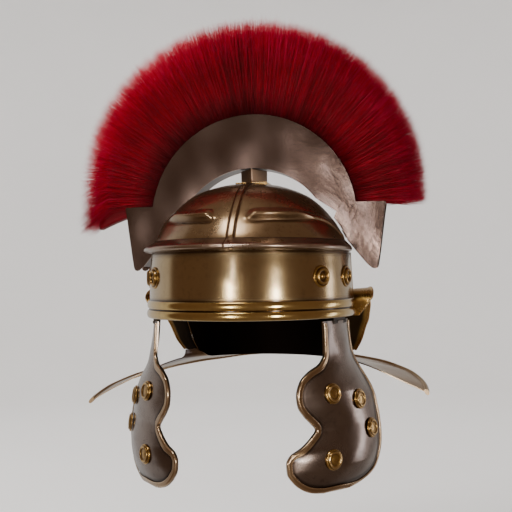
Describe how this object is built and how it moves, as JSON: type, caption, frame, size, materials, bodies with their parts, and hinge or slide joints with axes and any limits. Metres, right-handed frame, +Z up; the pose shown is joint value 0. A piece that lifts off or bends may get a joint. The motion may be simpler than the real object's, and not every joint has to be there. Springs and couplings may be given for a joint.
{
  "type": "roman legionary helmet",
  "caption": "Brass helmet with a brow guard, ringed bosses, ear guards, a broad neck guard, hinged cheek plates and a side-to-side red plume.",
  "frame": {"origin": "centre of the oval that the head goes into, level with the lower edge of the brow rim", "axes": "+Z up to the plume, -Y to the face opening, +X to the wearer's left"},
  "size_m": [0.375, 0.3138, 0.4672],
  "materials": {
    "bowl_brass": "aged brass, satin",
    "band_brass": "polished aged brass",
    "gold_brass": "golden brass, polished",
    "cheek_metal": "darkened, pewter brown, satin",
    "crest_bronze": "dark bronze with worn copper edges",
    "dark_metal": "blackened",
    "plume_hair": "dyed crimson horsehair"
  },
  "bodies": {
    "root": {"bowl": "bowl_brass", "brow_band": "band_brass", "brow_guard": "band_brass", "band_boss_1": "gold_brass", "band_boss_2": "gold_brass", "band_boss_3": "gold_brass", "band_boss_4": "gold_brass", "ear_guard_left": "gold_brass", "ear_guard_right": "gold_brass", "hinge_leaf_left": "dark_metal", "hinge_leaf_right": "dark_metal", "hinge_pin_left": "dark_metal", "hinge_pin_right": "dark_metal", "crest_plate_front": "crest_bronze", "crest_plate_back": "crest_bronze", "crest_base": "gold_brass", "crest_post": "crest_bronze", "crest_web": "crest_bronze", "plume": "plume_hair", "crest_stay_left": "dark_metal", "crest_stay_right": "dark_metal"},
    "cheek_left": {"cheek_plate_left": "cheek_metal", "cheek_trim_left": "gold_brass", "cheek_boss_left_1": "gold_brass", "cheek_boss_left_2": "gold_brass", "cheek_boss_left_3": "gold_brass", "cheek_boss_left_4": "gold_brass"},
    "cheek_right": {"cheek_plate_right": "cheek_metal", "cheek_trim_right": "gold_brass", "cheek_boss_right_1": "gold_brass", "cheek_boss_right_2": "gold_brass", "cheek_boss_right_3": "gold_brass", "cheek_boss_right_4": "gold_brass"}
  },
  "joints": [
    {"name": "cheek_hinge_left", "type": "hinge", "parent": "root", "child": "cheek_left", "pos_m": [0.09175, -0.03641, -0.0043], "axis": [-0.273, -0.962, 0], "range_deg": [-12, 90]},
    {"name": "cheek_hinge_right", "type": "hinge", "parent": "root", "child": "cheek_right", "pos_m": [-0.09175, -0.03641, -0.0043], "axis": [-0.273, 0.962, 0], "range_deg": [-12, 90]}
  ]
}
